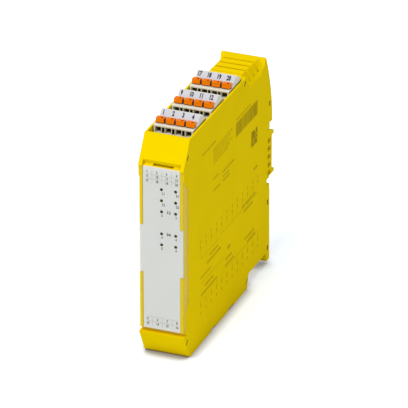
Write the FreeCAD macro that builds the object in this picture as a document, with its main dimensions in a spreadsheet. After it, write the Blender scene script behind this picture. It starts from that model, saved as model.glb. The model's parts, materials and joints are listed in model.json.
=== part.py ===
"""Safety relay module for a 35 mm rail: a flat 22.5 mm housing with five plug-in terminal blocks.

Frame: +X across the module, +Y from the front to the rail, +Z up. The outlines are drawn with the
front face at Y = 0 and the foot at Z = 0; each placement then moves the origin under the box centre.
"""
import FreeCAD, Part
import math
import os
import re

import Sketcher
from FreeCAD import Placement, Rotation, Vector

SIZES = {
    # side outline of the housing, from the front face and the foot
    "module_width": 22.5,
    "body_height": 112.4,
    "rail_seat": 112.0,
    "nose_low": 13.4,
    "nose_drop": 13.2,
    "slope_top": 8.3,
    "slope_bottom": 7.2,
    "block_setback": 5.4,
    "block_drop": 0.9,
    "back_radius": 92.0,
    "heel_proud": 0.4,
    "heel_level": 7.1,
    "heel_front": 84.5,
    "heel_run": 2.3,
    "notch_wall": 3.8,
    "notch_run": 1.6,
    "notch_level": 2.2,
    "toe_radius": 2.5,
    "heel_radius": 0.8,
    # walls of the mouldings
    "side_wall": 1.0,
    "rim_wall": 1.4,
    "deck_wall": 1.5,
    "bay_depth": 8.4,
    "lower_bay_depth": 14.0,
    "bay_front": 9.7,
    "bay_margin": 1.2,
    "lower_bay_margin": 2.1,
    "back_depth": 5.8,
    "hollow_rise": 9.0,
    "toe_solid": 7.1,
    # the rail and what holds it
    "rail_centre": 59.0,
    "rail_span": 35.0,
    "rail_channel": 25.0,
    "rail_sheet": 1.0,
    "hook_reach": 1.5,
    "hook_wall": 2.1,
    "hook_rise": 3.5,
    "bus_pocket": 3.6,
    "bus_room_up": 13.4,
    "bus_room_down": 16.1,
    # clearances, and how far a cut runs past what it cuts
    "gap": 0.3,
    "snug": 0.05,
    "overcut": 1.0,
    # latches between the two mouldings
    "latch_run": 0.9,
    "latch_width": 0.28,
    "latch_depth": 2.0,
    "latch_inset": 5.6,
    "latch_drop": 2.6,
    "latch_nose": 4.2,
    "latch_toe": 4.1,
    "foot_notch_first": 35.0,
    "foot_notch_second": 58.3,
    "foot_notch_length": 6.2,
    "foot_notch_height": 0.9,
    # bevels and ribs of the rear block
    "ridge_side": 3.25,
    "ridge_toe": 1.2,
    "ridge_fall": 0.6,
    "bevel_drop": 7.8,
    "bevel_toe": 0.6,
    "bevel_inset": 6.8,
    "bevel_outset": 8.6,
    "bevel_run": 6.5,
    "bevel_rise": 3.4,
    "rib_start": 8.9,
    "rib_end": 8.1,
    "rib_width": 1.3,
    "rib_depth": 0.9,
    "rib_foot": 1.8,
    "rib_edge": 0.15,
    # front: panel, label and clear cover
    "cheek_face": 0.8,
    "cheek_seam": 0.2,
    "panel_face": 1.8,
    "panel_sheet": 1.2,
    "panel_low": 15.2,
    "panel_seam": 0.2,
    "lip_rise": 2.8,
    "lip_foot": 0.8,
    "finger_rise": 0.9,
    "finger_depth": 0.7,
    "label_side": 2.05,
    "label_sheet": 0.8,
    "tab_rise": 29.2,
    "tab_length": 24.3,
    "tab_reach": 1.4,
    "cover_proud": 0.3,
    "cover_sheet": 0.8,
    "cover_seam": 0.1,
    "cover_round": 0.25,
    "wing_sheet": 0.45,
    "wing_back": 6.3,
    "wing_ear": 2.9,
    "ear_rise": 8.7,
    "wing_rise": 14.8,
    "wing_drop": 11.7,
    "wing_brow": 3.8,
    "pivot_depth": 1.9,
    "pivot_rise": 1.0,
    "pivot_radius": 0.7,
    "pivot_length": 0.9,
    "toe_depth": 3.3,
    "toe_break": 0.5,
    # indicators
    "lamp_drop": 39.2,
    "lamp_pitch": 5.68,
    "lamp_side": 2.2,
    "guide_radius": 0.65,
    "guide_web": 0.8,
    "guide_edge": 1.2,
    "guide_post": 0.5,
    "guide_end": 7.1,
    "lamp_board": 8.0,
    "lamp_board_sheet": 1.2,
    "lamp_board_edge": 4.0,
    "lamp_long": 0.8,
    "lamp_half": 0.5,
    # boards
    "board_sheet": 1.6,
    "board_standoff": 0.35,
    "board_front": 5.0,
    "board_margin": 1.2,
    "board_room": 0.1,
    "boss_margin": 7.0,
    "boss_radius": 2.2,
    "peg_radius": 0.9,
    "peg_proud": 0.6,
    "terminal_board_gap": 3.0,
    # what the main board carries
    "relay_inset": 43.0,
    "relay_low": 30.0,
    "relay_pitch": 16.0,
    "relay_length": 28.0,
    "relay_side": 12.5,
    "relay_height": 15.6,
    "converter_inset": 41.0,
    "converter_low": 66.0,
    "converter_length": 20.0,
    "converter_side": 16.0,
    "converter_height": 10.0,
    "chip_inset": 21.0,
    "chip_low": 38.0,
    "chip_pitch": 28.0,
    "chip_side": 10.0,
    "chip_height": 1.4,
    "case_break": 0.4,
    "can_inset": 8.0,
    "can_level": 76.0,
    "can_radius": 4.0,
    "can_height": 12.0,
    # terminal rows
    "first_row": 15.8,
    "row_pitch": 22.7,
    "flank": 1.25,
    "pin_side": 0.8,
    "pin_depth": 7.5,
    "pin_rise": 4.3,
    "pin_tail": 1.5,
    "header_side": 0.65,
    "header_front": 3.4,
    "header_back": 13.0,
    "plug_side": 0.35,
    "plug_depth": 16.4,
    "plug_ledge": 9.3,
    "plug_break": 0.3,
    "plug_back_level": 7.7,
    "plug_top": 12.9,
    "plug_back_radius": 20.0,
    "lever_front": 1.9,
    "lever_back": 4.7,
    "lever_slant": 0.3,
    "lever_top": 11.8,
    "lever_space": 0.9,
    "lever_travel": 1.3,
    "lever_slot_side": 0.9,
    "lever_slot_offset": 0.7,
    "lever_slot_front": 0.9,
    "lever_slot_length": 1.1,
    "lever_slot_depth": 0.9,
    "keel_width": 1.6,
    "keel_front": 1.7,
    "keel_sheet": 0.9,
    "keel_bite": 1.3,
    "chamber_half": 1.9,
    "chamber_front": 3.3,
    "chamber_back": 13.2,
    "chamber_top": 7.2,
    "wire_low": 5.5,
    "wire_high": 8.3,
    "wire_width": 2.9,
    "probe_side": 1.3,
    "marker_front": 7.2,
    "marker_back": 10.1,
    "marker_low": 9.8,
    "marker_sheet": 0.5,
    "marker_side": 0.25,
    "crest_run": 0.5,
    "spring_sheet": 0.4,
    "spring_half": 1.4,
    "spring_low": 1.6,
    "spring_front": 0.8,
    "spring_back": 0.6,
    "spring_toe": 3.2,
    # bus connector in the rail channel
    "bus_pitch": 4.25,
    "bus_drop": 1.8,
    "bus_finger": 2.9,
    "bus_overhang": 6.2,
    "bus_side": 0.2,
    "bus_skirt": 0.7,
    "bus_lip": 1.8,
    "bus_step": 4.2,
    "bus_slope": 2.4,
    "bus_lean": 0.4,
    "socket_side": 2.3,
    "socket_front": 1.5,
    "socket_back": 1.7,
    "socket_right": 6.0,
    "socket_left": 5.0,
    "contact_sheet": 0.4,
    "contact_half": 0.8,
    "contact_short": 0.5,
    "contact_shorter": 2.0,
    # rail foot
    "foot_half": 5.5,
    "foot_tongue": 1.5,
    "foot_inset": 4.0,
    "foot_flange": 2.0,
    "foot_sheet": 3.8,
    "foot_low": 5.0,
    "foot_lock": 1.8,
    "foot_hook": 2.0,
    "catch_heel": 6.0,
    "catch_toe": 3.0,
    "catch_rise": 1.0,
    "catch_break": 0.8,
    "catch_root": 0.2,
    "window_rise": 14.0,
    "window_length": 15.0,
    "window_peg": 3.0,
    "peg_length": 2.0,
    "eye_half": 2.0,
    "eye_rise": 1.5,
    "eye_length": 2.5,
    "leaf_end": 0.1,
    "leaf_room": 0.5,
}

POLES = (-1.5, -0.5, 0.5, 1.5)
ROWS = {"top_front": 0, "top_middle": 1, "top_rear": 2, "bottom_front": 0, "bottom_rear": 1}
TOP_ROWS = 3
BOTTOM_ROWS = 2
LAMPS = (0, 1, 3, 4, 5)
RIBS = 3
FOLDS = 6

# places and sizes that follow from the ones above
LINKS = {
    "nose_high": "body_height - nose_drop",
    "deck_level": "body_height - bay_depth",
    "ceiling": "deck_level - deck_wall",
    "lower_floor": "lower_bay_depth + deck_wall",
    "block_front": "first_row + %d * row_pitch + plug_depth + bay_margin" % (TOP_ROWS - 1),
    "block_back": "rail_seat - block_setback",
    "lower_bay_back": "first_row + %d * row_pitch + plug_depth + lower_bay_margin" % (BOTTOM_ROWS - 1),
    "lower_back": "rail_seat + heel_proud",
    "cavity_back": "rail_seat - back_depth",
    "heel_toe": "heel_front - heel_run",
    "notch_back": "lower_back - notch_wall",
    "notch_front": "notch_back - notch_run",
    "rail_top": "rail_centre + rail_span / 2",
    "rail_low": "rail_centre - rail_span / 2",
    "hook_front": "rail_seat + rail_sheet + gap",
    "hook_back": "hook_front + hook_wall",
    "hook_level": "rail_top + hook_rise",
    "bus_floor": "rail_seat - bus_pocket",
    "bus_room_top": "rail_centre + bus_room_up",
    "bus_room_low": "rail_centre - bus_room_down",
    "ridge_half": "module_width / 2 - ridge_side",
    "bevel_level": "body_height - bevel_drop",
    "bevel_front": "block_front + bevel_inset",
    "bevel_back": "block_back - bevel_outset",
    "rib_first": "block_front + rib_start",
    "rib_pitch": "(block_back - rib_end - rib_first) / %d" % (RIBS - 1),
    "panel_high": "nose_high - panel_seam",
    "panel_back": "panel_face + panel_sheet",
    "lip_level": "nose_high + lip_rise",
    "label_half": "module_width / 2 - label_side",
    "tab_low": "panel_low + tab_rise",
    "tab_high": "tab_low + tab_length",
    "pivot_level": "panel_low + pivot_rise",
    "lamp_first": "panel_high - lamp_drop",
    "lamp_last": "lamp_first + %d * lamp_pitch" % LAMPS[-1],
    "lamp_outer": "label_half - lamp_side",
    "board_back": "cavity_back - board_margin",
    "board_low": "lower_floor + terminal_board_gap + board_room",
    "board_high": "ceiling - terminal_board_gap - board_room",
    "pole_pitch": "(module_width - 2 * flank) / %d" % len(POLES),
    "header_half": "module_width / 2 - side_wall - header_side",
    "plug_half": "module_width / 2 - side_wall - plug_side",
    "marker_half": "plug_half - marker_side",
    "marker_high": "plug_top - marker_sheet",
    "lever_width": "pole_pitch - lever_space",
    "lever_low": "plug_ledge + gap",
    "bus_middle": "rail_centre - bus_drop",
    "bus_reach": "rail_seat + bus_overhang",
    "bus_back": "bus_reach - bus_finger",
    "foot_front": "rail_seat - foot_inset",
    "foot_step": "foot_front + foot_flange",
    "foot_back": "foot_front + foot_sheet",
    "foot_high": "rail_low + foot_lock",
    "window_low": "foot_low + window_rise",
    "window_high": "window_low + window_length",
    "peg_high": "window_low + window_peg",
    "origin_depth": "(bus_reach - cover_proud) / 2",
    "right": "module_width / 2",
    "left": "-module_width / 2",
    "inner_right": "module_width / 2 - side_wall",
    "inner_left": "side_wall - module_width / 2",
    "cheek": "label_half + cheek_seam",
    "wing_face": "module_width / 2 - wing_sheet",
    "recess_face": "module_width / 2 - wing_sheet - cover_seam",
    "board_face": "inner_left + board_standoff + board_sheet",
}
TOUCH = 0.01
PLANES = {"X": "YZ_Plane", "Y": "XZ_Plane", "Z": "XY_Plane"}

doc = FreeCAD.newDocument("SafetyRelay")
sheet = doc.addObject("Spreadsheet::Sheet", "Dims")
for row, (alias, size) in enumerate(SIZES.items(), start=1):
    sheet.set("A%d" % row, str(size))
    sheet.setAlias("A%d" % row, alias)
doc.recompute()
nodes = []


# --- drawing helpers --------------------------------------------------------------------------

def bound(text):
    """The expression with each linked name written out and each size's name replaced by its cell."""
    def cell(word):
        name = word.group(0)
        return "(%s)" % bound(LINKS[name]) if name in LINKS else "Dims." + name
    return re.sub(r"[a-z]+(_[a-z]+)*", cell, str(text))


def number(text):
    """The value that an expression has now."""
    return float(sheet.evalExpression(bound(text)))


def box_loop(low_a, high_a, low_b, high_b):
    """A rectangle between two limits in each direction of a sketch."""
    return [(low_a, low_b), (high_a, low_b), (high_a, high_b), (low_a, high_b)]


def round_loop(centre_a, centre_b, radius):
    """A circle of a sketch."""
    return ("circle", centre_a, centre_b, radius)


def arc_edge(start, end, radius):
    """An arc whose centre lies left of the way from start to end, or right of it if radius < 0."""
    chord = end - start
    reach = math.sqrt(radius * radius - chord.Length ** 2 / 4)
    side = Vector(-chord.y, chord.x, 0).normalize() * math.copysign(reach, radius)
    centre = (start + end) * 0.5 + side
    first, last = (start, end) if radius > 0 else (end, start)
    from_angle = math.atan2(first.y - centre.y, first.x - centre.x)
    to_angle = math.atan2(last.y - centre.y, last.x - centre.x)
    circle = Part.Circle(centre, Vector(0, 0, 1), abs(radius))
    return Part.ArcOfCircle(circle, from_angle, to_angle)


def pin_point(drawing, edge, end, place_a, place_b):
    """Hold a point of a sketch at two expressions."""
    for kind, text in (("DistanceX", place_a), ("DistanceY", place_b)):
        index = drawing.addConstraint(Sketcher.Constraint(kind, -1, 1, edge, end, number(text)))
        drawing.setExpression("Constraints[%d]" % index, bound(text))


def hold_radius(drawing, edge, text):
    """Hold the radius of an arc or a circle of a sketch."""
    index = drawing.addConstraint(Sketcher.Constraint("Radius", edge, abs(number(text))))
    drawing.setExpression("Constraints[%d]" % index, bound(text.lstrip("-")))


def draw_circle(drawing, centre_a, centre_b, radius):
    """Add one bound circle to a sketch."""
    middle = Vector(number(centre_a), number(centre_b), 0)
    edge = drawing.addGeometry(Part.Circle(middle, Vector(0, 0, 1), number(radius)), False)
    pin_point(drawing, edge, 3, centre_a, centre_b)
    hold_radius(drawing, edge, radius)


def draw_loop(drawing, corners):
    """Add one closed bound outline to a sketch; a third value is the radius of the edge that leaves."""
    points = [Vector(number(corner[0]), number(corner[1]), 0) for corner in corners]
    starts = []
    ends = []
    edges = []
    for index, corner in enumerate(corners):
        here = points[index]
        there = points[(index + 1) % len(points)]
        radius = number(corner[2]) if len(corner) > 2 else 0
        shape = arc_edge(here, there, radius) if radius else Part.LineSegment(here, there)
        edges.append(drawing.addGeometry(shape, False))
        starts.append(2 if radius < 0 else 1)
        ends.append(1 if radius < 0 else 2)
    for index, corner in enumerate(corners):
        after = (index + 1) % len(corners)
        joint = Sketcher.Constraint("Coincident", edges[index], ends[index], edges[after], starts[after])
        drawing.addConstraint(joint)
    for index, corner in enumerate(corners):
        pin_point(drawing, edges[index], starts[index], corner[0], corner[1])
        if len(corner) > 2:
            hold_radius(drawing, edges[index], corner[2])


def sketch(body, axis, level, loops):
    """A sketch across an axis at a level, on the body's own origin plane."""
    drawing = body.newObject("Sketcher::SketchObject", "Outline")
    plane = next(item for item in body.Origin.OriginFeatures if item.Role == PLANES[axis])
    drawing.AttachmentSupport = [(plane, "")]
    drawing.MapMode = "FlatFace"
    sense = "-" if axis == "Y" else ""
    drawing.setExpression("AttachmentOffset.Base.z", bound("%s(%s)" % (sense, level)))
    for loop in loops:
        if loop[0] == "circle":
            draw_circle(drawing, *loop[1:])
        else:
            draw_loop(drawing, loop)
    return drawing


def pad(body, axis, start, end, *loops):
    """Add material between two levels of an axis."""
    feature = body.newObject("PartDesign::Pad", "Pad")
    feature.Profile = sketch(body, axis, start, loops)
    feature.setExpression("Length", bound("(%s) - (%s)" % (end, start)))
    feature.Reversed = axis == "Y"
    return feature


def pocket(body, axis, start, end, *loops):
    """Cut material away between two levels of an axis."""
    feature = body.newObject("PartDesign::Pocket", "Pocket")
    feature.Profile = sketch(body, axis, start, loops)
    feature.setExpression("Length", bound("(%s) - (%s)" % (end, start)))
    feature.Reversed = axis != "Y"
    return feature


def ease(body, kind, size, chosen):
    """Round (Fillet) or break (Chamfer) the edges of a body that the test picks."""
    doc.recompute()
    base = body.Tip
    names = ["Edge%d" % (i + 1) for i, edge in enumerate(base.Shape.Edges) if chosen(edge)]
    feature = body.newObject("PartDesign::" + kind, kind)
    feature.Base = (base, names)
    feature.setExpression("Radius" if kind == "Fillet" else "Size", bound(size))


def along(axis, *places):
    """A test for straight edges along an axis, at one of the given places or at any place."""
    across = [letter for letter in "xyz" if letter != axis]
    spots = [[number(level) for level in place] for place in places]

    def chosen(edge):
        if edge.Curve.TypeId != "Part::GeomLine":
            return False
        start = edge.Vertexes[0].Point
        run = edge.Vertexes[1].Point - start
        if abs(abs(getattr(run, axis)) - run.Length) > TOUCH:
            return False
        here = [getattr(start, letter) for letter in across]
        return not spots or any(math.dist(here, spot) < TOUCH for spot in spots)
    return chosen


def new_body(name, row="0", flipped=False):
    """A body at its row, turned over for the terminals under the housing."""
    body = doc.addObject("PartDesign::Body", name)
    settle(body, name, row, flipped)
    return body


def settle(item, name, row="0", flipped=False):
    """Give a sub-part its name and its placement."""
    item.Label = name
    turn = 180 if flipped else 0
    item.Placement = Placement(Vector(0, 0, 0), Rotation(Vector(0, 1, 0), turn))
    item.setExpression("Placement.Base.y", bound("%s - origin_depth" % row))
    if flipped:
        item.setExpression("Placement.Base.z", bound("deck_level + lower_bay_depth"))
    nodes.append(item)


def box_group(name, boxes, flipped=False):
    """A sub-part of several like blocks, each given by its limits in X, Y and Z."""
    blocks = []
    for limits in boxes:
        block = doc.addObject("Part::Box", name + "_block")
        for place, side, low, high in zip("xyz", ("Length", "Width", "Height"), limits[::2], limits[1::2]):
            block.setExpression("Placement.Base." + place, bound(low))
            block.setExpression(side, bound("(%s) - (%s)" % (high, low)))
        blocks.append(block)
    group = doc.addObject("Part::Compound", name)
    group.Links = blocks
    settle(group, name, flipped=flipped)


# --- outlines shared by the mouldings -----------------------------------------------------------

def housing_outline():
    """The side view of the module, the same for both halves of the housing."""
    return [
        ("0", "nose_low"),
        ("0", "nose_high"),
        ("slope_top", "body_height"),
        ("block_front", "body_height"),
        ("block_back", "body_height - block_drop", "-back_radius"),
        ("hook_back", "hook_level"),
        ("hook_back", "rail_top - hook_reach"),
        ("hook_front", "rail_top - hook_reach"),
        ("hook_front", "rail_top + gap"),
        ("rail_seat", "rail_top + gap"),
        ("rail_seat", "bus_room_top"),
        ("bus_floor", "bus_room_top"),
        ("bus_floor", "bus_room_low"),
        ("rail_seat", "bus_room_low"),
        ("rail_seat", "rail_low - gap"),
        ("lower_back", "rail_low - gap - rim_wall"),
        ("lower_back", "notch_level"),
        ("notch_back", "notch_level"),
        ("notch_front", "heel_level"),
        ("heel_front", "heel_level"),
        ("heel_toe", "0"),
        ("slope_bottom", "0"),
    ]


def cavity_outline():
    """The hollow that holds the boards, closed at the back by the wall of the bus room."""
    return [
        ("panel_back", "nose_low + toe_solid"),
        ("panel_back", "nose_high - gap - rim_wall"),
        ("bay_front - rim_wall", "nose_high - gap - rim_wall + hollow_rise"),
        ("bay_front - rim_wall", "ceiling"),
        ("cavity_back", "ceiling"),
        ("cavity_back", "heel_level + rim_wall"),
        ("heel_front - gap", "heel_level + rim_wall"),
        ("heel_toe - rim_wall", "rim_wall"),
        ("lower_bay_back + rim_wall", "rim_wall"),
        ("lower_bay_back + rim_wall", "lower_floor"),
        ("bay_front - rim_wall", "lower_floor"),
        ("bay_front - rim_wall", "nose_low + toe_solid - hollow_rise"),
    ]


def wing_outline():
    """The cheek of the clear cover, with the ear that reaches down to its pivot."""
    return [
        ("-cover_proud", "panel_low"),
        ("wing_ear", "panel_low"),
        ("wing_ear", "panel_low + ear_rise"),
        ("wing_back", "panel_low + wing_rise"),
        ("wing_back", "panel_high - wing_drop"),
        ("-cover_proud", "panel_high - wing_brow"),
    ]


def wing_room():
    """The recess that the cheek of the clear cover lies in."""
    return [
        ("-overcut", "nose_low"),
        ("wing_ear + 2.5 * gap", "nose_low"),
        ("wing_ear + 2.5 * gap", "panel_low + ear_rise + gap"),
        ("wing_back + gap", "panel_low + wing_rise - gap"),
        ("wing_back + gap", "panel_high - wing_drop + gap / 2"),
        ("-overcut", "panel_high - wing_brow + 4 * gap"),
    ]


def cut_front(body, start, end):
    """Seat the clear cover and free its lower edge, across a span of the width."""
    pocket(body, "X", start, end, box_loop("-overcut", "cheek_face", "nose_low", "nose_high"))
    pocket(body, "X", start, end, box_loop("-overcut", "toe_depth", "nose_low", "panel_low"))
    pocket(body, "X", start, end, [
        ("-overcut", "panel_low - snug"), ("cheek_face + toe_break", "panel_low - snug"),
        ("cheek_face + toe_break", "panel_low"), ("cheek_face", "panel_low + toe_break"),
        ("-overcut", "panel_low + toe_break")])
    pocket(body, "X", start, end, box_loop("-overcut", "panel_face", "tab_low - gap", "tab_high + gap"))


def cut_bevel(body, side):
    """Slope one upper corner of the rear block."""
    sky = "body_height + 2 * overcut"
    outer = [
        ("block_front - bevel_toe", sky),
        ("bevel_front", "bevel_level"),
        ("bevel_back", "bevel_level"),
        ("bevel_back + bevel_run", "bevel_level + bevel_rise"),
        ("block_back - snug", sky),
    ]
    inner = [
        ("block_front + ridge_toe", sky),
        ("block_front + ridge_toe + rim_wall", "body_height - gap"),
        ("bevel_back + overcut", "body_height - ridge_fall"),
        ("bevel_back + bevel_run + gap", "body_height - ridge_fall - snug"),
        ("block_back - ridge_fall", sky),
    ]
    feature = body.newObject("PartDesign::SubtractiveLoft", "Bevel")
    feature.Profile = sketch(body, "X", "%s * right" % side, [outer])
    feature.Sections = [sketch(body, "X", "%s * ridge_half" % side, [inner])]
    feature.Ruled = True


def latch_slots():
    """The slanted slots in which the shell's latches show, one near each corner of the side."""
    places = [("latch_inset", "body_height - latch_drop - latch_inset"), ("latch_nose", "nose_low - latch_toe"),
              ("block_front + gap", "body_height - latch_drop"), ("heel_toe - gap", "latch_nose")]
    loops = []
    for y, z in places:
        loops.append([
            ("%s - latch_run - latch_width" % y, "%s - latch_run + latch_width" % z),
            ("%s - latch_run + latch_width" % y, "%s - latch_run - latch_width" % z),
            ("%s + latch_run + latch_width" % y, "%s + latch_run - latch_width" % z),
            ("%s + latch_run - latch_width" % y, "%s + latch_run + latch_width" % z)])
    return loops


def lamp_places():
    """Where the indicators are, as pairs of expressions in X and Z."""
    return [(column, "lamp_first + %d * lamp_pitch" % step) for column in ("0", "lamp_outer") for step in LAMPS]


def pole_place(pole):
    """The middle of a pole in X."""
    return "%s * pole_pitch" % pole


def row_place(row):
    """The front face of a row of terminals in Y."""
    return "first_row + %d * row_pitch" % row


# --- housing --------------------------------------------------------------------------------------

def header_windows(rows):
    """The openings of a deck that the pin headers pass through."""
    return [box_loop("-header_half - 2 * snug", "header_half + 2 * snug",
                     "%s + header_front - 2 * snug" % row_place(row),
                     "%s + header_back + 2 * snug" % row_place(row)) for row in range(rows)]


def cut_ribs(body):
    """Cut the grip grooves over the rear block, the foremost on its ridge alone."""
    ridge = "body_height - block_drop / 2 - rib_depth"
    end = "(inner_right - rib_edge)"
    groove = [("-%s" % end, "body_height + overcut"), ("-%s" % end, "bevel_level + rib_foot"),
              ("-ridge_half", ridge), ("ridge_half", ridge),
              (end, "bevel_level + rib_foot"), (end, "body_height + overcut")]
    for rib in range(RIBS):
        start = "rib_first + %d * rib_pitch" % rib
        pocket(body, "Y", start, "%s + rib_width" % start, groove)
    front = "rib_first - rib_pitch"
    pocket(body, "Y", front, "%s + rib_width" % front,
           box_loop("-ridge_half", "ridge_half", "body_height - rib_depth / 2", "body_height + overcut"))


def make_shell():
    """The deep half of the housing: left wall, rim, decks, bays, rear block and foot guide."""
    body = new_body("housing_shell")
    pad(body, "X", "left", "inner_right", housing_outline())
    ease(body, "Fillet", "toe_radius", along("x", ("slope_bottom", "0")))
    ease(body, "Fillet", "heel_radius", along("x", ("lower_back", "notch_level"), ("heel_toe", "0")))
    pocket(body, "X", "inner_left", "inner_right", cavity_outline())
    upper_bay = box_loop("bay_front", "block_front", "deck_level", "body_height + overcut")
    lower_bay = box_loop("bay_front", "lower_bay_back", "-overcut", "lower_bay_depth")
    pocket(body, "X", "inner_left", "inner_right", upper_bay, lower_bay)
    block_room = box_loop("block_front + rim_wall", "block_back - 2 * rim_wall",
                          "ceiling - gap", "body_height - block_drop - rim_wall - rib_depth / 2")
    pocket(body, "X", "overcut - ridge_half", "ridge_half - overcut", block_room)
    pocket(body, "Z", "ceiling - overcut", "deck_level + overcut", *header_windows(TOP_ROWS))
    pocket(body, "Z", "lower_bay_depth - overcut", "lower_floor + overcut", *header_windows(BOTTOM_ROWS))
    cut_front(body, "left", "inner_right")
    front = box_loop("-overcut", "panel_face", "panel_low", "panel_high")
    pocket(body, "X", "-cheek", "inner_right", front)
    lip_depth = "(lip_level - nose_high) * slope_top / (body_height - nose_high)"
    lip = [("-overcut", "panel_high - snug"), ("panel_face", "panel_high - snug"),
           ("panel_face", "panel_high"), ("panel_back", "panel_high + lip_foot"),
           (lip_depth, "lip_level"), ("-overcut", "lip_level")]
    pocket(body, "X", "-cheek", "cheek", lip)
    pocket(body, "X", "-label_half / 2", "label_half / 2 + lip_foot",
           box_loop("0", "panel_back + finger_depth", "panel_high", "panel_high + finger_rise"))
    pocket(body, "X", "left - overcut", "-recess_face", wing_room())
    pocket(body, "Y", "panel_face - overcut", "panel_back + overcut",
           *[box_loop("%s - guide_edge" % column, "%s + guide_edge" % column,
                      "lamp_first - guide_edge", "lamp_last + guide_edge") for column in ("0", "lamp_outer")])
    cut_pivot(body, "left - overcut", "pivot_length + gap - wing_face")
    cut_pivot(body, "wing_face - pivot_length - gap", "right")
    cut_bevel(body, "-1")
    cut_bevel(body, "1")
    cut_ribs(body)
    narrow = box_loop("-foot_half - gap", "foot_half + gap", "foot_step", "lower_back + overcut")
    wide = box_loop("-foot_half - foot_tongue - gap", "foot_half + foot_tongue + gap",
                    "foot_front - gap", "foot_step + gap")
    pocket(body, "Z", "-overcut", "bus_room_low + overcut", narrow)
    pocket(body, "Z", "-overcut", "bus_room_low + overcut", wide)
    pocket(body, "X", "inner_right - latch_depth", "inner_right", *latch_slots())
    pad(body, "Y", "foot_front - gap", "foot_back - gap",
        box_loop("gap - foot_half / 2", "foot_half / 2 - gap", "peg_high - peg_length", "peg_high"))
    bosses = [round_loop(y, z, "boss_radius") for y, z in boss_places()]
    pegs = [round_loop(y, z, "peg_radius") for y, z in boss_places()]
    pad(body, "X", "inner_left", "inner_left + board_standoff", *bosses)
    pad(body, "X", "inner_left", "board_face + peg_proud", *pegs)


def boss_places():
    """Where the main board sits on the left wall, in Y and Z."""
    return [(y, z) for y in ("board_front + boss_margin", "board_back - boss_margin")
            for z in ("board_low + boss_margin", "board_high - boss_margin")]


def cut_pivot(body, start, end):
    """Bore the hole for one pivot pin of the clear cover."""
    pocket(body, "X", start, end, round_loop("pivot_depth", "pivot_level", "pivot_radius + snug"))


def make_side_cover():
    """The flat half of the housing that closes the shell on the right."""
    body = new_body("side_cover")
    pad(body, "X", "inner_right", "right", housing_outline())
    ease(body, "Fillet", "toe_radius", along("x", ("slope_bottom", "0")))
    ease(body, "Fillet", "heel_radius", along("x", ("lower_back", "notch_level"), ("heel_toe", "0")))
    pad(body, "X", "cheek", "inner_right", box_loop("cheek_face", "panel_face", "panel_low", "panel_high"))
    cut_front(body, "cheek", "right")
    pocket(body, "X", "recess_face", "right + overcut", wing_room())
    cut_pivot(body, "wing_face - pivot_length - gap", "right")
    cut_bevel(body, "1")
    pocket(body, "X", "inner_right", "right", *latch_slots())
    pocket(body, "X", "inner_right", "right", *[
        box_loop(place, "%s + foot_notch_length" % place, "-overcut", "foot_notch_height")
        for place in ("foot_notch_first", "foot_notch_second")])


# --- front ----------------------------------------------------------------------------------------

def make_front_cover():
    """The clear flap in front of the label, with a cheek and a pivot pin on each side."""
    body = new_body("front_cover")
    pad(body, "Y", "-cover_proud", "cover_sheet - cover_proud",
        box_loop("left", "right", "panel_low", "panel_high - cover_seam"))
    pad(body, "X", "wing_face", "right", wing_outline())
    pad(body, "X", "left", "-wing_face", wing_outline())
    ease(body, "Fillet", "cover_round", along("z", ("left", "-cover_proud"), ("right", "-cover_proud")))
    pin = round_loop("pivot_depth", "pivot_level", "pivot_radius")
    pad(body, "X", "wing_face - pivot_length", "wing_face", pin)
    pad(body, "X", "-wing_face", "pivot_length - wing_face", pin)


def make_label_plate():
    """The white plate with the tabs that hold it and a hole for each indicator."""
    body = new_body("label_plate")
    reach = "(label_half + tab_reach)"
    low = "panel_low + gap"
    high = "panel_high - panel_seam"
    outline = [
        ("-label_half", low), ("label_half", low), ("label_half", "tab_low"), (reach, "tab_low"),
        (reach, "tab_high"), ("label_half", "tab_high"), ("label_half", high), ("-label_half", high),
        ("-label_half", "tab_high"), ("-%s" % reach, "tab_high"), ("-%s" % reach, "tab_low"),
        ("-label_half", "tab_low"),
    ]
    holes = [round_loop(place, level, "guide_radius + gap / 3") for place, level in lamp_places()]
    pad(body, "Y", "panel_face - label_sheet", "panel_face", outline, *holes)


def make_light_guide(name, column):
    """A clear strip in its window of the panel, with a rod to the label and a post for each lamp."""
    body = new_body(name)
    levels = ["lamp_first + %d * lamp_pitch" % step for step in LAMPS]
    web = "panel_back - guide_web"
    pad(body, "Y", web, "panel_back",
        box_loop("%s - guide_edge + snug" % column, "%s + guide_edge - snug" % column,
                 "lamp_first - guide_edge + snug", "lamp_last + guide_edge - snug"))
    pad(body, "Y", "panel_face - label_sheet + snug", web,
        *[round_loop(column, level, "guide_radius") for level in levels])
    pad(body, "Y", "panel_back", "guide_end",
        *[box_loop("%s - guide_post" % column, "%s + guide_post" % column,
                   "%s - guide_post" % level, "%s + guide_post" % level) for level in levels])


def make_indicator_board():
    """The small board behind the guides and the ten lamps on it."""
    body = new_body("indicator_board")
    pad(body, "Y", "lamp_board", "lamp_board + lamp_board_sheet",
        box_loop("board_face", "label_half", "lamp_first - lamp_board_edge", "lamp_last + lamp_board_edge"))
    box_group("indicator_leds", [
        ("%s - lamp_long" % place, "%s + lamp_long" % place, "guide_end + snug", "lamp_board",
         "%s - lamp_half" % level, "%s + lamp_half" % level) for place, level in lamp_places()])


# --- boards and what they carry -------------------------------------------------------------------

def make_main_board():
    """The upright board on the pegs of the left wall."""
    body = new_body("main_board")
    holes = [round_loop(y, z, "peg_radius + snug") for y, z in boss_places()]
    pad(body, "X", "board_face - board_sheet", "board_face",
        box_loop("board_front", "board_back", "board_low", "board_high"), *holes)


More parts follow.
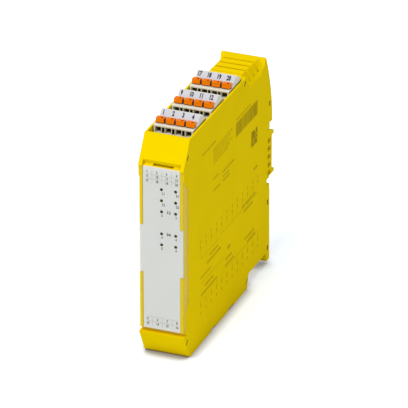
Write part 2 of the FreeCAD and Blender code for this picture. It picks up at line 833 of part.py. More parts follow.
def make_terminal_board(name, rows, flipped):
    """The board under a deck that carries the pin headers of its rows."""
    body = new_body(name, flipped=flipped)
    top = "ceiling - terminal_board_gap"
    near, far = ("-label_half", "-board_face") if flipped else ("board_face", "label_half")
    holes = [pin_loop(pole, row, "snug") for row in range(rows) for pole in POLES]
    pad(body, "Z", "%s - board_sheet" % top, top,
        box_loop(near, far, "first_row + header_front", "%s + header_back" % row_place(rows - 1)), *holes)


def pin_loop(pole, row, margin):
    """The square of one header pin, with a margin around it."""
    reach = "pin_side / 2 - %s" % margin
    more = "pin_side / 2 + %s" % margin
    across = pole_place(pole)
    depth = "%s + pin_depth" % row_place(row)
    return box_loop("%s - %s" % (across, reach), "%s + %s" % (across, more),
                    "%s - %s" % (depth, reach), "%s + %s" % (depth, more))


def make_header(name, row, flipped):
    """The block that holds four pins, flush with the deck."""
    body = new_body(name, flipped=flipped)
    pad(body, "Z", "ceiling - terminal_board_gap", "deck_level",
        box_loop("-header_half", "header_half", "%s + header_front" % row_place(row),
                 "%s + header_back" % row_place(row)), *[pin_loop(pole, row, "snug") for pole in POLES])


def make_header_pins(name, rows, flipped):
    """All header pins of one deck."""
    low = "ceiling - terminal_board_gap - board_sheet - pin_tail"
    boxes = []
    for row in range(rows):
        for pole in POLES:
            corner, _, opposite, _ = pin_loop(pole, row, "0")
            boxes.append((corner[0], opposite[0], corner[1], opposite[1], low, "deck_level + pin_rise"))
    box_group(name, boxes, flipped=flipped)


def make_component(name, kind, inset, low):
    """A boxed part on the face of the main board, with its upright edges broken."""
    body = new_body(name)
    pad(body, "X", "board_face", "board_face + %s_height" % kind,
        box_loop(inset, "%s + %s" % (inset, kind_length(kind)), low, "%s + %s_side" % (low, kind)))
    ease(body, "Chamfer", "case_break", along("x"))


def kind_length(kind):
    """The name of a component's length: a square one has a single side."""
    return kind + ("_length" if kind + "_length" in SIZES else "_side")


def make_capacitor():
    """The can that keeps the supply up through short gaps."""
    body = new_body("buffer_capacitor")
    pad(body, "X", "board_face", "board_face + can_height",
        round_loop("board_back - can_inset", "can_level", "can_radius"))


# --- terminals ------------------------------------------------------------------------------------

def make_plug(name, row, flipped):
    """A plug-in terminal block with four wire holes, three test holes and an open lever ledge."""
    body = new_body(name, row_place(row), flipped)
    foot = "deck_level + gap"
    ledge = "deck_level + plug_ledge"
    profile = [
        ("0", foot),
        ("0", "%s - plug_break" % ledge),
        ("plug_break", ledge),
        ("marker_front", ledge),
        ("marker_front", "deck_level + marker_low"),
        ("marker_back", "deck_level + marker_high"),
        ("marker_back + crest_run", "deck_level + plug_top", "-plug_back_radius"),
        ("plug_depth", "deck_level + plug_back_level"),
        ("plug_depth", foot),
    ]
    pad(body, "X", "-plug_half", "plug_half", profile)
    chambers = [box_loop("%s - chamber_half" % pole_place(pole), "%s + chamber_half" % pole_place(pole),
                         "chamber_front", "chamber_back") for pole in POLES]
    pocket(body, "Z", "deck_level", "deck_level + chamber_top", *chambers)
    wires = [box_loop("%s - wire_width / 2" % pole_place(pole), "%s + wire_width / 2" % pole_place(pole),
                      "deck_level + wire_low", "deck_level + wire_high") for pole in POLES]
    pocket(body, "Y", "-overcut", "chamber_front + gap", *wires)
    probes = [box_loop("%s * pole_pitch - probe_side / 2" % step, "%s * pole_pitch + probe_side / 2" % step,
                       "deck_level + wire_low", "deck_level + wire_high") for step in (-1, 0, 1)]
    pocket(body, "Y", "-overcut", "chamber_front - gap", *probes)
    slits = [box_loop("%s - keel_width / 2 - 2 * snug" % pole_place(pole),
                      "%s + keel_width / 2 + 2 * snug" % pole_place(pole),
                      "lever_front + keel_front - gap / 2",
                      "lever_front + keel_front + keel_sheet + lever_travel + gap") for pole in POLES]
    pocket(body, "Z", "deck_level + chamber_top - gap", "%s + gap" % ledge, *slits)


def make_lever(name, pole, row, flipped):
    """The orange slider that opens one clamp, with its keel and a slot for the screwdriver."""
    body = new_body(name, row_place(row), flipped)
    side = -1 if flipped else 1
    across = pole_place(side * pole)
    low = "deck_level + lever_low"
    top = "deck_level + lever_top"
    face = [("lever_front", low), ("lever_front + lever_slant", top), ("lever_back", top), ("lever_back", low)]
    pad(body, "X", "%s - lever_width / 2" % across, "%s + lever_width / 2" % across, face)
    keel = box_loop("lever_front + keel_front", "lever_front + keel_front + keel_sheet",
                    "deck_level + chamber_top - keel_bite", "%s + snug" % low)
    pad(body, "X", "%s - keel_width / 2" % across, "%s + keel_width / 2" % across, keel)
    slot_start = "%s + %d * lever_slot_offset - lever_slot_side / 2" % (across, side)
    pocket(body, "Z", "%s - lever_slot_depth" % top, top,
           box_loop(slot_start, "%s + lever_slot_side" % slot_start, "lever_front + lever_slot_front",
                    "lever_front + lever_slot_front + lever_slot_length"))


def make_marker(name, row, flipped):
    """The white strip with the terminal numbers on the slope behind the levers."""
    body = new_body(name, row_place(row), flipped)
    low = "deck_level + marker_low"
    high = "deck_level + marker_high"
    profile = [("marker_front", low), ("marker_back", high),
               ("marker_back - marker_sheet / 2", "%s + marker_sheet" % high),
               ("marker_front", "%s + marker_sheet" % low)]
    pad(body, "X", "-marker_half", "marker_half", profile)


def make_clamp_springs(name, rows, flipped):
    """The bent steel springs, one in each chamber of the plugs of one deck."""
    body = new_body(name, flipped=flipped)
    body.AllowCompound = True
    low = "deck_level + spring_low"
    high = "deck_level + pin_rise + gap + spring_sheet"
    loops = []
    for row in range(rows):
        front = "%s + chamber_front + spring_front" % row_place(row)
        back = "%s + chamber_back - spring_back" % row_place(row)
        loops.append([
            (front, high), (back, high), (back, low), ("%s - spring_toe" % back, low),
            ("%s - spring_toe" % back, "%s + spring_sheet" % low),
            ("%s - spring_sheet" % back, "%s + spring_sheet" % low),
            ("%s - spring_sheet" % back, "%s - spring_sheet" % high), (front, "%s - spring_sheet" % high)])
    for pole in POLES:
        pad(body, "X", "%s - spring_half" % pole_place(pole), "%s + spring_half" % pole_place(pole), *loops)


# --- rail side ------------------------------------------------------------------------------------

def make_bus_connector():
    """The connector in the rail channel that links neighbouring modules, with its five contacts."""
    body = new_body("bus_connector")
    levels = ["bus_middle + %d * bus_pitch" % step for step in (-2, -1, 0, 1, 2)]
    front = "bus_floor + gap"
    low = "(rail_centre - rail_channel / 2 + bus_side)"
    high = "(rail_centre + rail_channel / 2 - bus_side)"
    shoulder = "rail_seat - bus_side"
    groove = "%s - contact_sheet" % shoulder
    tip = "bus_reach - bus_lean"
    profile = [
        (front, "%s - bus_skirt" % low), (shoulder, "%s - bus_skirt" % low), (shoulder, low),
        ("bus_reach", low), ("bus_reach", "%s + bus_lip" % low), ("bus_back", "%s + bus_lip" % low),
        ("bus_back", "%s - bus_step" % high), (tip, "%s - bus_step" % high),
        (tip, "%s - bus_slope" % high), (shoulder, high), (shoulder, "bus_room_top - gap"),
        (front, "bus_room_top - gap"),
    ]
    pad(body, "X", "left", "right", profile)
    sockets = [box_loop("bus_floor + socket_front", "bus_back - socket_back",
                        "%s - socket_side / 2" % level, "%s + socket_side / 2" % level) for level in levels]
    slots = [box_loop(groove, shoulder, "%s - contact_half" % level, "%s + contact_half" % level)
             for level in levels]
    pocket(body, "X", "right - socket_right", "right + overcut", *sockets)
    pocket(body, "X", "left - overcut", "left + socket_left", *sockets)
    pocket(body, "X", "left", "right", *slots)
    box_group("bus_contacts", [
        ("left + contact_short", "right - contact_shorter", groove, shoulder,
         "%s - contact_half" % level, "%s + contact_half" % level) for level in levels])


def make_rail_foot():
    """The sprung foot that locks under the lower lip of the rail."""
    body = new_body("rail_foot")
    plate = [
        ("-foot_half - foot_tongue", "foot_front"), ("foot_half + foot_tongue", "foot_front"),
        ("foot_half + foot_tongue", "foot_step"), ("foot_half", "foot_step"), ("foot_half", "foot_back"),
        ("-foot_half", "foot_back"), ("-foot_half", "foot_step"), ("-foot_half - foot_tongue", "foot_step"),
    ]
    pad(body, "Z", "foot_low", "foot_high", plate)
    root = "foot_back - catch_root"
    tip = "hook_front + foot_hook"
    catch = [
        (root, "rail_low - catch_heel"), ("hook_front", "rail_low - catch_heel + catch_rise"),
        (tip, "rail_low - catch_toe"), (tip, "foot_high - catch_break"),
        ("hook_front + catch_break", "foot_high"), ("hook_front", "foot_high"),
        ("hook_front", "rail_low - gap"), (root, "rail_low - gap"),
    ]
    pad(body, "X", "-foot_half", "foot_half", catch)
    window = box_loop("-foot_half / 2", "foot_half / 2", "window_low", "window_high")
    eye = box_loop("-eye_half", "eye_half", "foot_low + eye_rise", "foot_low + eye_rise + eye_length")
    pocket(body, "Y", "foot_front - overcut", "foot_back + overcut", window, eye)


def make_foot_spring():
    """The folded leaf spring between the peg of the shell and the top of the foot's window."""
    body = new_body("foot_spring")
    body.AllowCompound = True
    rise = "(window_high - peg_high - spring_sheet - 2 * leaf_end) / %d" % FOLDS
    levels = ["peg_high + leaf_end + %d * %s" % (fold, rise) for fold in range(FOLDS + 1)]
    front = "foot_front + leaf_room"
    back = "foot_back - leaf_room"
    leaves = [box_loop(front, back, level, "%s + spring_sheet" % level) for level in levels]
    bends = []
    for fold in range(FOLDS):
        inner, outer = ("%s - spring_sheet" % back, back) if fold % 2 else (front, "%s + spring_sheet" % front)
        bends.append(box_loop(inner, outer, levels[fold], "%s + spring_sheet" % levels[fold + 1]))
    half = "(foot_half / 2 - leaf_room)"
    pad(body, "X", "-%s" % half, half, *leaves)
    pad(body, "X", "-%s" % half, half, *bends)


# --- assembly -------------------------------------------------------------------------------------

def make_terminals():
    """Every terminal block with its header, levers and number strip."""
    lever = 1
    for place, row in ROWS.items():
        flipped = place.startswith("bottom")
        make_plug("terminal_plug_" + place, row, flipped)
        make_header("pin_header_" + place, row, flipped)
        make_marker("marker_strip_" + place, row, flipped)
    for place in ("top_front", "bottom_front", "top_middle", "bottom_rear", "top_rear"):
        for pole in POLES:
            make_lever("release_lever_%d" % lever, pole, ROWS[place], place.startswith("bottom"))
            lever += 1
    for side, rows in (("top", TOP_ROWS), ("bottom", BOTTOM_ROWS)):
        flipped = side == "bottom"
        make_terminal_board(side + "_terminal_board", rows, flipped)
        make_header_pins("header_pins_" + side, rows, flipped)
        make_clamp_springs("clamp_springs_" + side, rows, flipped)


def check_model():
    """Stop if any object failed, is empty or invalid, or if a pocket cuts nothing."""
    for item in doc.Objects:
        if "Invalid" in item.State or "Error" in item.State:
            raise RuntimeError("%s (%s) failed" % (item.Name, item.Label))
    for item in doc.Objects:
        if item.TypeId in ("PartDesign::Pocket", "PartDesign::SubtractiveLoft"):
            if item.Shape.Volume > item.BaseFeature.Shape.Volume - 1e-6:
                raise RuntimeError("%s cuts nothing" % item.Name)
    for item in nodes:
        if item.Shape.isNull() or not item.Shape.isValid():
            raise RuntimeError("%s has no valid shape" % item.Label)


make_shell()
make_side_cover()
make_front_cover()
make_label_plate()
make_light_guide("light_guide_left", "0")
make_light_guide("light_guide_right", "lamp_outer")
make_indicator_board()
make_main_board()
make_component("relay_k1", "relay", "board_back - relay_inset", "relay_low")
make_component("relay_k2", "relay", "board_back - relay_inset", "relay_low + relay_pitch")
make_component("power_converter", "converter", "board_back - converter_inset", "converter_low")
make_component("controller_a", "chip", "board_front + chip_inset", "chip_low")
make_component("controller_b", "chip", "board_front + chip_inset", "chip_low + chip_pitch")
make_capacitor()
make_terminals()
make_bus_connector()
make_rail_foot()
make_foot_spring()
doc.recompute()
check_model()
os.makedirs("parts", exist_ok=True)
for node in nodes:
    node.Shape.exportStep("parts/%s.step" % node.Label)
    print("%-28s %9.1f mm3 %d solids" % (node.Label, node.Shape.Volume, len(node.Shape.Solids)))
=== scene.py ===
"""Looks of the safety relay: finishes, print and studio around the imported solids.

Lengths are in metres; MM turns a figure in millimetres into one.
"""
import json
import math
import random

import bmesh
import bpy
from mathutils import Matrix, Vector


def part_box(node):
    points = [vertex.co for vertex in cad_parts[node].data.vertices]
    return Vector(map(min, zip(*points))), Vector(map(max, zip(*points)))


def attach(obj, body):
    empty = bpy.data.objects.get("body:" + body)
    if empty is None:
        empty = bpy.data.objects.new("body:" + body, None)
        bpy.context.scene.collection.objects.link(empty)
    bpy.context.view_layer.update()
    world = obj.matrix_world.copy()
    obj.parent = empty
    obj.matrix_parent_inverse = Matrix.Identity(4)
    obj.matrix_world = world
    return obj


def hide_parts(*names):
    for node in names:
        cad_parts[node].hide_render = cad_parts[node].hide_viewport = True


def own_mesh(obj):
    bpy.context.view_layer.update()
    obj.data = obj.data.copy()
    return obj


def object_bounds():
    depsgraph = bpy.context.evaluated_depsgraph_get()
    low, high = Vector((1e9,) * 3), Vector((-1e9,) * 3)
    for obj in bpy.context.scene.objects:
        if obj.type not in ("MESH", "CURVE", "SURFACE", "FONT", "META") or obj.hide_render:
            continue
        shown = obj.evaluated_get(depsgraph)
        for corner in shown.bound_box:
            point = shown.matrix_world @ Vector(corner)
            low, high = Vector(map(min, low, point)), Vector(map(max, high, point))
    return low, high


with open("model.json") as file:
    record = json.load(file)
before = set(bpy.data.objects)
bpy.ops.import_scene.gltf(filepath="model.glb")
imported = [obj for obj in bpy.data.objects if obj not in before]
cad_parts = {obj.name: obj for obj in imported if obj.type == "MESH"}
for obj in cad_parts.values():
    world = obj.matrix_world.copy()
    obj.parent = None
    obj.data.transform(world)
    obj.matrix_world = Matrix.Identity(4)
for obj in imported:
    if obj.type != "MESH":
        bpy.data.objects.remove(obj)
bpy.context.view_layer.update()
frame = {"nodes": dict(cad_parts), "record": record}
NODES = frame["nodes"]
SLOT_OF = {entry["node"]: entry["material_slot"] for entry in frame["record"]["subparts"]}
MM = 0.001


# --- material nodes -------------------------------------------------------------------------------

NOISE_RANGE = (0.3, 0.7)


def linear(red, green, blue):
    """A display colour, 0 to 255, as linear light."""
    out = []
    for value in (red, green, blue):
        share = value / 255
        out.append(share / 12.92 if share <= 0.04045 else ((share + 0.055) / 1.055) ** 2.4)
    return (*out, 1.0)


def scaled(colour, share):
    """A linear colour made darker or lighter, no channel past 1."""
    return (*[min(1, channel * share) for channel in colour[:3]], 1)


def new_material(name):
    """An empty node material with its Principled shader."""
    material = bpy.data.materials.new(name)
    material.use_nodes = True
    return material, material.node_tree, material.node_tree.nodes["Principled BSDF"]


def noise(tree, scale, detail=2.0, stretch=(1, 1, 1)):
    """A noise texture in the piece's own coordinates; scale is in features per metre."""
    place = tree.nodes.new("ShaderNodeTexCoord")
    mapping = tree.nodes.new("ShaderNodeMapping")
    mapping.inputs["Scale"].default_value = stretch
    texture = tree.nodes.new("ShaderNodeTexNoise")
    texture.inputs["Scale"].default_value = scale
    texture.inputs["Detail"].default_value = detail
    tree.links.new(place.outputs["Object"], mapping.inputs["Vector"])
    tree.links.new(mapping.outputs["Vector"], texture.inputs["Vector"])
    return texture.outputs["Fac"]


def spread(tree, value, low, high):
    """Map a noise value to a range."""
    node = tree.nodes.new("ShaderNodeMapRange")
    node.inputs["From Min"].default_value = NOISE_RANGE[0]
    node.inputs["From Max"].default_value = NOISE_RANGE[1]
    node.inputs["To Min"].default_value = low
    node.inputs["To Max"].default_value = high
    tree.links.new(value, node.inputs["Value"])
    return node.outputs["Result"]


def shade(tree, value, dark, light):
    """A colour between two, by a noise value."""
    ramp = tree.nodes.new("ShaderNodeValToRGB")
    for element, position, colour in zip(ramp.color_ramp.elements, NOISE_RANGE, (dark, light)):
        element.position = position
        element.color = colour
    tree.links.new(value, ramp.inputs["Fac"])
    return ramp.outputs["Color"]


def emboss(tree, shader, value, strength, distance):
    """Raise the surface by a value."""
    bump = tree.nodes.new("ShaderNodeBump")
    bump.inputs["Strength"].default_value = strength
    bump.inputs["Distance"].default_value = distance
    tree.links.new(value, bump.inputs["Height"])
    tree.links.new(bump.outputs["Normal"], shader.inputs["Normal"])


def openness(tree, reach, alone, closed, clear):
    """A mask for painted shade: 0 inside a gap narrower than the reach, 1 in the open; alone leaves other
    pieces out.
    """
    gap_shade = tree.nodes.new("ShaderNodeAmbientOcclusion")
    gap_shade.only_local = alone
    gap_shade.inputs["Distance"].default_value = reach
    ramp = tree.nodes.new("ShaderNodeMapRange")
    ramp.inputs["From Min"].default_value = closed
    ramp.inputs["From Max"].default_value = clear
    tree.links.new(gap_shade.outputs["AO"], ramp.inputs["Value"])
    return ramp.outputs["Result"]


def deepen(tree, colour, shade_colour, how_open):
    """Paint shade: turn a colour towards a shade colour inside gaps, where light is lost."""
    mix = tree.nodes.new("ShaderNodeMix")
    mix.data_type = "RGBA"
    mix.inputs["A"].default_value = shade_colour
    tree.links.new(how_open, mix.inputs["Factor"])
    tree.links.new(colour, mix.inputs["B"])
    return mix.outputs["Result"]


# --- finishes -------------------------------------------------------------------------------------

PLASTIC_IOR = 1.48
CLEAR_IOR = 1.46
GRAIN_DEPTH = 0.02 * MM
LINE_DEPTH = 0.01 * MM
GLOSS_DRIFT = 0.05
HAZE_DRIFT = 0.03
METAL_DARK = 0.85
METAL_SMOOTHER = 0.08
METAL_ROUGHER = 0.1
INK_LIGHT = 1.15


def moulded(name, colour, rough, vary=0.03, grain_scale=9000, gloss=0.3,
            gap_shade=None, reach=0.0, alone=True, closed=0.25, clear=0.75):
    """Moulded plastic: a fine eroded grain, slow drift in tone and in gloss, and painted shade that darkens
    the colour inside narrow gaps.
    """
    material, tree, shader = new_material(name)
    base = linear(*colour)
    surface = shade(tree, noise(tree, scale=60, detail=3), scaled(base, 1 - vary), scaled(base, 1 + vary))
    # painted shade: the colour turns towards the gap shade colour where a gap is narrower than the reach
    if gap_shade:
        surface = deepen(tree, surface, linear(*gap_shade), openness(tree, reach, alone, closed, clear))
    tree.links.new(surface, shader.inputs["Base Color"])
    fine = noise(tree, grain_scale, detail=3)
    rough_now = spread(tree, fine, rough - GLOSS_DRIFT, rough + GLOSS_DRIFT)
    tree.links.new(rough_now, shader.inputs["Roughness"])
    emboss(tree, shader, fine, strength=0.35, distance=GRAIN_DEPTH)
    shader.inputs["Base Color"].default_value = base
    shader.inputs["Specular IOR Level"].default_value = gloss
    shader.inputs["IOR"].default_value = PLASTIC_IOR
    return material


def metal(name, colour, rough, stretch):
    """Rolled sheet metal with fine drawn lines."""
    material, tree, shader = new_material(name)
    base = linear(*colour)
    lines = noise(tree, scale=1500, detail=4, stretch=stretch)
    tree.links.new(shade(tree, lines, scaled(base, METAL_DARK), base), shader.inputs["Base Color"])
    rough_now = spread(tree, lines, rough - METAL_SMOOTHER, rough + METAL_ROUGHER)
    tree.links.new(rough_now, shader.inputs["Roughness"])
    emboss(tree, shader, lines, strength=0.2, distance=LINE_DEPTH)
    shader.inputs["Metallic"].default_value = 1.0
    return material


def clear_plastic(name, colour, alpha, edge_alpha, rough):
    """Thin clear moulding: see-through when faced, with more body where it is seen edge on."""
    material, tree, shader = new_material(name)
    slant = tree.nodes.new("ShaderNodeLayerWeight")
    slant.inputs["Blend"].default_value = 0.35
    body = tree.nodes.new("ShaderNodeMapRange")
    body.inputs["From Min"].default_value = 0.2
    body.inputs["To Min"].default_value = alpha
    body.inputs["To Max"].default_value = edge_alpha
    tree.links.new(slant.outputs["Facing"], body.inputs["Value"])
    tree.links.new(body.outputs["Result"], shader.inputs["Alpha"])
    haze = noise(tree, scale=90)
    tree.links.new(spread(tree, haze, rough - HAZE_DRIFT, rough + HAZE_DRIFT), shader.inputs["Roughness"])
    shader.inputs["Base Color"].default_value = linear(*colour)
    shader.inputs["IOR"].default_value = CLEAR_IOR
    shader.inputs["Specular IOR Level"].default_value = 0.25
    shader.inputs["Alpha"].default_value = alpha
    return material


def smoked(name, colour, rough):
    """Dark window material, a little uneven in gloss."""
    material, tree, shader = new_material(name)
    haze = noise(tree, scale=300)
    tree.links.new(spread(tree, haze, rough - GLOSS_DRIFT, rough + GLOSS_DRIFT), shader.inputs["Roughness"])
    shader.inputs["Base Color"].default_value = linear(*colour)
    return material


def printed(name, colour):
    """Matt ink with a little unevenness."""
    material, tree, shader = new_material(name)
    base = linear(*colour)
    patch = noise(tree, scale=2500)
    tree.links.new(shade(tree, patch, base, scaled(base, INK_LIGHT)), shader.inputs["Base Color"])
    shader.inputs["Roughness"].default_value = 0.7
    shader.inputs["Specular IOR Level"].default_value = 0.02
    return material


FINISHES = {
    # painted shade: the housing's yellow turns dark olive inside its narrow grooves, ribs and slots
    "housing_yellow": moulded("housing yellow", (252, 218, 0), 0.55, vary=0.02, gloss=0.003,
                              gap_shade=(96, 72, 4), reach=2.0 * MM, closed=0.0, clear=0.55),
    # painted reflection: the clear cover's yellow colour stands for the yellow housing reflected in it
    "cover_clear": clear_plastic("clear cover", (236, 214, 60), alpha=0.035, edge_alpha=0.56, rough=0.2),
    "label_white": moulded("label white", (235, 239, 246), 0.55, vary=0.01, grain_scale=5000),
    "guide_clear": smoked("light guide", (22, 24, 22), 0.25),
    "board_green": moulded("board green", (30, 96, 58), 0.4, vary=0.08),
    "lamp_body": moulded("lamp body", (226, 222, 190), 0.3),
    "relay_case": moulded("relay case", (40, 40, 44), 0.4),
    "component_black": moulded("component black", (28, 28, 30), 0.55),
    "contact_brass": metal("tinned contact", (214, 208, 190), 0.3, stretch=(1, 1, 0.05)),
    "spring_steel": metal("spring steel", (188, 190, 194), 0.32, stretch=(1, 0.05, 1)),
    # painted shade: the plug's cream turns dark inside its wire holes and where other pieces come close
    "plug_cream": moulded("plug cream", (232, 230, 214), 0.45, vary=0.015,
                          gap_shade=(70, 80, 56), reach=2.6 * MM, alone=False, closed=0.4, clear=0.72),
    "header_grey": moulded("header grey", (70, 70, 68), 0.5),
    "marker_white": moulded("marker strip", (215, 217, 224), 0.5, vary=0.012, gloss=0.2),
    # painted shade: the levers' orange turns dark brown in the gaps between them and beside other pieces
    "lever_orange": moulded("lever orange", (250, 128, 0), 0.4, vary=0.03, gloss=0.06,
                            gap_shade=(84, 36, 8), reach=2.6 * MM, alone=False, closed=0.2, clear=0.62),
}
LABEL_INK = printed("label ink", (76, 80, 82))
LAMP_INK = printed("lamp window ink", (14, 16, 15))
MARKER_INK = printed("marker ink", (26, 30, 38))
CODE_INK = printed("wall print", (164, 140, 0))
FAINT_INK = printed("wall small print", (196, 167, 0))
# painted shade: dark patches laid like print over the side cover's latch slots and recesses
PAINTED_RECESS_SHADE = printed("painted recess shade", (98, 76, 0))


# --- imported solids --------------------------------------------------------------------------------

SHELL_EDGE = 0.2 * MM
BLOCK_EDGE = 0.15 * MM
WELD_REACH = 0.002 * MM
SHARP_ANGLE = math.radians(35)
SHELL_NODES = ("housing_shell", "side_cover", "front_cover", "bus_connector", "rail_foot")
BLOCK_NODES = ("terminal_plug", "release_lever")


def dress(node, finish):
    """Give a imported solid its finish."""
    slots = node.data.materials
    slots.clear()
    slots.append(finish)


def soften(node, width, segments=2):
    """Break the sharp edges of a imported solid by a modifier."""
    weld = node.modifiers.new("weld", "WELD")
    weld.merge_threshold = WELD_REACH
    bevel = node.modifiers.new("edge", "BEVEL")
    bevel.width = width
    bevel.segments = segments
    bevel.limit_method = "ANGLE"
    bevel.angle_limit = SHARP_ANGLE
    bevel.harden_normals = True


def finish_solids():
    """Dress every node by its slot, and soften the mouldings that show."""
    for name, node in NODES.items():
        dress(node, FINISHES[SLOT_OF[name]])
        if name in SHELL_NODES:
            soften(node, SHELL_EDGE)
        elif name.startswith(BLOCK_NODES):
            soften(node, BLOCK_EDGE)


def make_foot_spring():
    """The foot's leaf spring as a piece of its own, with its own mesh, on the housing; the imported spring is
    hidden.
    """
    piece = bpy.data.objects.new("foot_leaf_spring", NODES["foot_spring"].data.copy())
    bpy.context.scene.collection.objects.link(piece)
    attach(piece, "housing")
    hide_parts("foot_spring")
    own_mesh(piece)


# --- print: helpers -------------------------------------------------------------------------------

INK_DEPTH = 0.02 * MM
HAIRLINE = 0.06 * MM
FIGURE_SHARE = 0.7
DISC_SIDES = 24


def text_mesh(text, tall, narrow=0.75, bold=0.05):
    """One line of plain figures as a flat mesh, centred, in the XY plane; tall is a figure's height."""
    curve = bpy.data.curves.new("figures", "FONT")
    curve.body = text
    curve.size = tall / FIGURE_SHARE
    curve.align_x = "CENTER"
    curve.align_y = "CENTER"
    curve.offset = bold * tall
    curve.extrude = INK_DEPTH / 2
    curve.resolution_u = 2
    holder = bpy.data.objects.new("figures", curve)
    bpy.context.scene.collection.objects.link(holder)
    bpy.context.view_layer.update()
    depsgraph = bpy.context.evaluated_depsgraph_get()
    mesh = bpy.data.meshes.new_from_object(holder.evaluated_get(depsgraph))
    mesh.transform(Matrix.Diagonal((narrow, 1, 1, 1)))
    bpy.data.objects.remove(holder)
    return mesh


def bar_mesh(width, height):
    """A flat printed bar, centred, in the XY plane."""
    work = bmesh.new()
    bmesh.ops.create_cube(work, size=1.0)
    bmesh.ops.scale(work, vec=(width, height, INK_DEPTH), verts=work.verts)
    mesh = bpy.data.meshes.new("bar")
    work.to_mesh(mesh)
    work.free()
    return mesh


def disc_mesh(radius):
    """A flat printed disc, centred, in the XY plane."""
    work = bmesh.new()
    bmesh.ops.create_cone(work, cap_ends=True, segments=DISC_SIDES,
                          radius1=radius, radius2=radius, depth=INK_DEPTH)
    mesh = bpy.data.meshes.new("disc")
    work.to_mesh(mesh)
    work.free()
    return mesh


def facing(origin, right, up):
    """The matrix that lays a flat print at a place, with its own right and up directions."""
    right = Vector(right).normalized()
    up = Vector(up).normalized()
    matrix = Matrix((right, up, right.cross(up))).transposed().to_4x4()
    matrix.translation = Vector(origin)
    return matrix


def join_print(name, body, ink, pieces):
    """One printed piece from several meshes, each with its own matrix."""
    work = bmesh.new()
    for mesh, matrix in pieces:
        start = len(work.verts)
        work.from_mesh(mesh)
        work.verts.ensure_lookup_table()
        bmesh.ops.transform(work, matrix=matrix, verts=work.verts[start:])
    data = bpy.data.meshes.new(name)
    work.to_mesh(data)
    work.free()
    data.materials.append(ink)
    piece = bpy.data.objects.new(name, data)
    bpy.context.scene.collection.objects.link(piece)
    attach(piece, body)


# --- print: label ---------------------------------------------------------------------------------

POLES = range(4)
POLE_MIDDLE = (len(POLES) - 1) / 2
UPPER_ROWS = (1, 9, 17)
LOWER_ROWS = (13, 5)
LABEL_FIGURE = 1.3 * MM
LABEL_PITCH = 4.85 * MM
LABEL_ROW = 2.3 * MM
LABEL_SHIFT = 0.2 * MM
TABLE_TOP = 2.5 * MM
TABLE_FOOT = 2.4 * MM
UPPER_TABLE = 6.4 * MM
LOWER_TABLE = 4.4 * MM
# level rules, in rows from a table's first figures
UPPER_RULES = (-0.5, -1.5)
LOWER_RULES = (1.6, 0.5)
LAMP_STEPS = (5, 4, 3, 1, 0)
LAMP_MARGIN = 1.15 * MM
LAMP_RADIUS = 0.74 * MM
CAPTION_FIGURE = 1.2 * MM
CAPTION_BOLD = 0.06
CAPTION_DROP = 2.0 * MM
CAPTION_SHIFT = 0.2 * MM
LONG_CAPTION_SHIFT = 0.9 * MM
LONG_CAPTIONS = 2
PAIR_CAPTIONS = ("12", "34")
PAIR_LAMPS = slice(2, 4)
PAIR_NARROW = 1.1


def lamp_levels():
    """Heights of the five lamp windows, from the ends of a light guide."""
    low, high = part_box("light_guide_left")
    pitch = (high[2] - low[2] - 2 * LAMP_MARGIN) / LAMP_STEPS[0]
    return [low[2] + LAMP_MARGIN + pitch * step for step in LAMP_STEPS]


def print_label():
    """Figures for terminals and lamps, thin rules between them and the dark lamp windows."""
    low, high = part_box("label_plate")
    face = low[1] - INK_DEPTH / 2
    upper = high[2] - TABLE_TOP
    lower = low[2] + TABLE_FOOT
    columns = [(pole - POLE_MIDDLE) * LABEL_PITCH + LABEL_SHIFT for pole in POLES]
    figures = []
    windows = []

    def put(group, mesh, across, level):
        group.append((mesh, facing((across, face, level), (1, 0, 0), (0, 0, 1))))

    rows = [(first, upper - LABEL_ROW * row) for row, first in enumerate(UPPER_ROWS)]
    rows += [(first, lower + LABEL_ROW * row) for row, first in enumerate(LOWER_ROWS)]
    for first, level in rows:
        for pole, across in zip(POLES, columns):
            put(figures, text_mesh(str(first + pole), LABEL_FIGURE), across, level)
    for left, right in zip(columns, columns[1:]):
        between = (left + right) / 2
        put(figures, bar_mesh(HAIRLINE, UPPER_TABLE), between, upper - LABEL_ROW)
        put(figures, bar_mesh(HAIRLINE, LOWER_TABLE), between, lower + LABEL_ROW / 2)
    rules = [lower + LABEL_ROW * share for share in LOWER_RULES]
    rules += [upper + LABEL_ROW * share for share in UPPER_RULES]
    for level in rules:
        put(figures, bar_mesh(columns[-1] - columns[0], HAIRLINE), LABEL_SHIFT, level)

    guides = [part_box("light_guide_left"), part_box("light_guide_right")]
    for side, (start, end) in enumerate(guides, start=1):
        across = (start[0] + end[0]) / 2
        for lamp, level in enumerate(lamp_levels(), start=1):
            put(windows, disc_mesh(LAMP_RADIUS), across, level)
            long = lamp <= LONG_CAPTIONS
            caption = "%d.%d" % (side, lamp) if long else str(lamp)
            shift = LONG_CAPTION_SHIFT if long else CAPTION_SHIFT
            figure = text_mesh(caption, CAPTION_FIGURE, bold=CAPTION_BOLD)
            put(figures, figure, across + shift, level - CAPTION_DROP)
    between = (guides[0][0][0] + guides[1][1][0]) / 2
    for pair, level in zip(PAIR_CAPTIONS, lamp_levels()[PAIR_LAMPS]):
        put(figures, text_mesh(pair, LABEL_FIGURE, PAIR_NARROW, CAPTION_BOLD), between, level)
    join_print("label_figures", "housing", LABEL_INK, figures)
    join_print("lamp_windows", "housing", LAMP_INK, windows)


# --- print: number strips -------------------------------------------------------------------------

STRIPS = (("top_front", 1), ("bottom_front", 5), ("top_middle", 9), ("bottom_rear", 13), ("top_rear", 17))
STRIP_FIGURE = 2.3 * MM
STRIP_PITCH = 4.9 * MM
STRIP_SHIFT = 0.85 * MM
STRIP_LIFT = 0.2 * MM
STRIP_EDGE_TALL = 0.5 * MM
STRIP_EDGE_DEEP = 0.25 * MM


